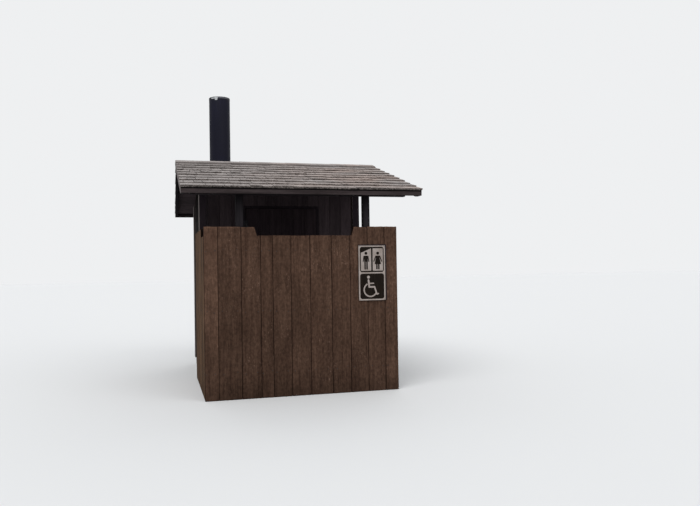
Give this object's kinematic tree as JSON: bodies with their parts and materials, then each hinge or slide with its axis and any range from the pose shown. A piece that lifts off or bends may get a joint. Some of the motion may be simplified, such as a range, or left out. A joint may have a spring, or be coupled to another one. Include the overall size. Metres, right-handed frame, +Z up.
{
  "type": "wooden outhouse",
  "caption": "Wooden vault-toilet building with a shake gable roof, a tall black vent stack and a board privacy screen in front of its entry passage.",
  "frame": {"origin": "ground level under the middle of the roof, below the ridge", "axes": "+Z up, X along the ridge with +X at the open end of the passage, -Y towards the privacy screen"},
  "size_m": [2.61, 3.74, 3.924],
  "materials": {
    "concrete": "rough, weathered",
    "wall_boards": "rough-sawn, brown stain",
    "trim": "rough-sawn, dark brown stain",
    "door_planks": "brown stain",
    "hinge_metal": "black",
    "handle_metal": "brushed",
    "screen_boards": "rough-sawn, weathered brown stain",
    "framing": "rough-sawn, brown stain",
    "shakes": "split cedar, weathered grey",
    "stack_pipe": "black, slight sheen",
    "flashing": "dark, weathered",
    "stack_metal": "dark, weathered",
    "sign_face": "cream and dark brown paint"
  },
  "bodies": {
    "root": {"floor_slab": "concrete", "front_wall_left": "wall_boards", "front_wall_right": "wall_boards", "front_wall_over_door": "wall_boards", "left_wall": "wall_boards", "right_wall": "wall_boards", "rear_wall": "wall_boards", "corner_boards": "trim", "door_frame": "trim", "fascia_front": "trim", "fascia_rear": "trim", "rake_front_left": "trim", "rake_front_right": "trim", "rake_rear_left": "trim", "rake_rear_right": "trim", "left_post": "trim", "right_post": "trim", "front_header": "trim", "sign_backing": "trim", "door": "door_planks", "door_hinges": "hinge_metal", "door_handle": "handle_metal", "screen_front": "screen_boards", "screen_return": "screen_boards", "screen_rails": "framing", "return_rails": "framing", "corner_post": "framing", "rafters_front": "framing", "rafters_rear": "framing", "ridge_board": "framing", "roof_deck_front": "framing", "roof_deck_rear": "framing", "shakes_front": "shakes", "shakes_rear": "shakes", "ridge_cap": "shakes", "vent_stack": "stack_pipe", "stack_flashing": "flashing", "stack_screen": "stack_metal", "stack_straps": "stack_metal", "sign_board": "sign_face"}
  },
  "joints": []
}
